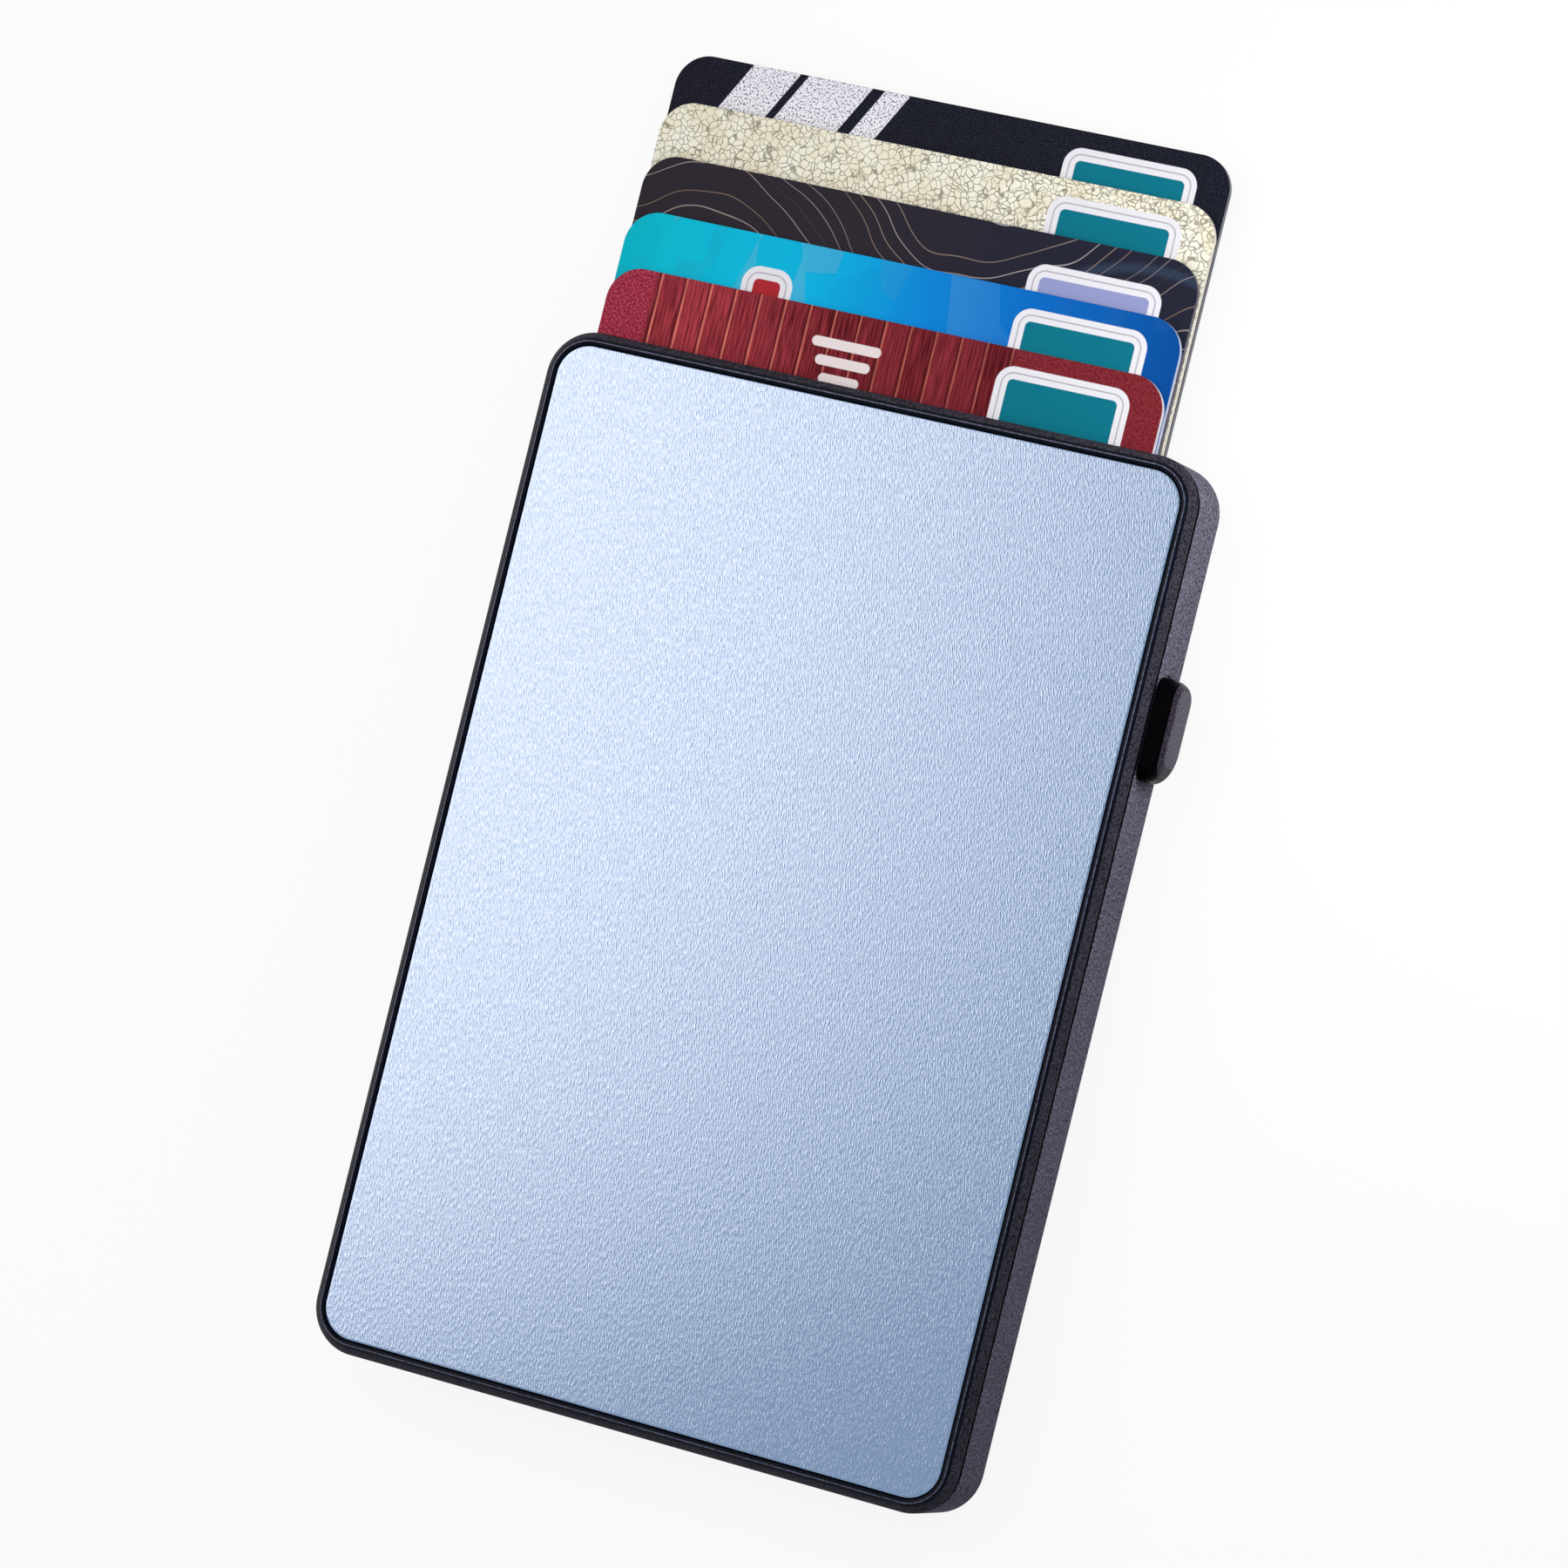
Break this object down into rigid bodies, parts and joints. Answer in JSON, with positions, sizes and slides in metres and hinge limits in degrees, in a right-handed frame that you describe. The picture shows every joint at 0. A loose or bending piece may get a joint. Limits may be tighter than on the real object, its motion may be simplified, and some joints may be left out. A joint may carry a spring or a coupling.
{
  "type": "pop-up card holder",
  "caption": "Slim pocket card case with a metal front panel in a raised rim; a side button drives a slide and a stepped lever that fans bank-size cards out of the mouth.",
  "frame": {"origin": "centre of the case's back face", "axes": "+X across the case towards the button, +Y along it towards the card mouth, +Z from the back face to the front panel; lies on its back"},
  "size_m": [0.0653, 0.1222, 0.0085],
  "materials": {
    "rear_body": "fine-grained purple-grey",
    "front_cover": "satin black",
    "front_panel": "pale blue anodised, fine lengthwise grain",
    "panel_tape": "adhesive sheet",
    "card_guides": "matte black",
    "felt_pads": "dark felt",
    "screws": "plain steel",
    "guide_studs": "turned",
    "slide_metal": "plain steel",
    "slide_button": "satin black",
    "ejector_lever": "off-white, waxy",
    "pivot_washer": "white, waxy",
    "red_card": "printed, fine upright stripes",
    "blue_card": "printed, teal to deep blue",
    "line_card": "printed, thin wavy lines",
    "gold_card": "printed, fine dark network",
    "black_card": "printed, speckled silver bands"
  },
  "bodies": {
    "case": {"rear_body": "rear_body", "front_cover": "front_cover", "front_panel": "front_panel", "panel_tape": "panel_tape", "left_card_guide": "card_guides", "right_card_guide": "card_guides", "rear_felt_pad": "felt_pads", "front_felt_pad": "felt_pads", "cover_screw_1": "screws", "cover_screw_2": "screws", "cover_screw_3": "screws", "upper_guide_stud": "guide_studs", "lower_guide_stud": "guide_studs", "pivot_pin": "slide_metal", "pivot_washer": "pivot_washer"},
    "slide": {"slider_plate": "slide_metal", "drive_pin": "slide_metal", "slide_button": "slide_button"},
    "lever": {"ejector_lever": "ejector_lever"},
    "card_1": {"red_card": "red_card"},
    "card_2": {"blue_card": "blue_card"},
    "card_3": {"line_card": "line_card"},
    "card_4": {"gold_card": "gold_card"},
    "card_5": {"black_card": "black_card"}
  },
  "joints": [
    {"name": "button_slide", "type": "slide", "parent": "case", "child": "slide", "axis": [0, 1, 0], "range_m": [-0.0055, 0]},
    {"name": "lever_swing", "type": "hinge", "parent": "case", "child": "lever", "pos_m": [0.02652, -0.04171, 0.00402], "axis": [0, 0, -1], "range_deg": [-36, 0]},
    {"name": "card_1_slide", "type": "slide", "parent": "case", "child": "card_1", "axis": [0, 1, 0], "range_m": [-0.0076, 0]},
    {"name": "card_2_slide", "type": "slide", "parent": "case", "child": "card_2", "axis": [0, 1, 0], "range_m": [-0.013, 0]},
    {"name": "card_3_slide", "type": "slide", "parent": "case", "child": "card_3", "axis": [0, 1, 0], "range_m": [-0.0184, 0]},
    {"name": "card_4_slide", "type": "slide", "parent": "case", "child": "card_4", "axis": [0, 1, 0], "range_m": [-0.0236, 0]},
    {"name": "card_5_slide", "type": "slide", "parent": "case", "child": "card_5", "axis": [0, 1, 0], "range_m": [-0.0282, 0]}
  ],
  "couplings": [
    {"joint": "button_slide", "follows": "card_5_slide", "ratio": 0.19504},
    {"joint": "lever_swing", "follows": "card_5_slide", "rad_per_m": 22.279},
    {"joint": "card_1_slide", "follows": "card_5_slide", "ratio": 0.2695},
    {"joint": "card_2_slide", "follows": "card_5_slide", "ratio": 0.46099},
    {"joint": "card_3_slide", "follows": "card_5_slide", "ratio": 0.65248},
    {"joint": "card_4_slide", "follows": "card_5_slide", "ratio": 0.83688}
  ]
}
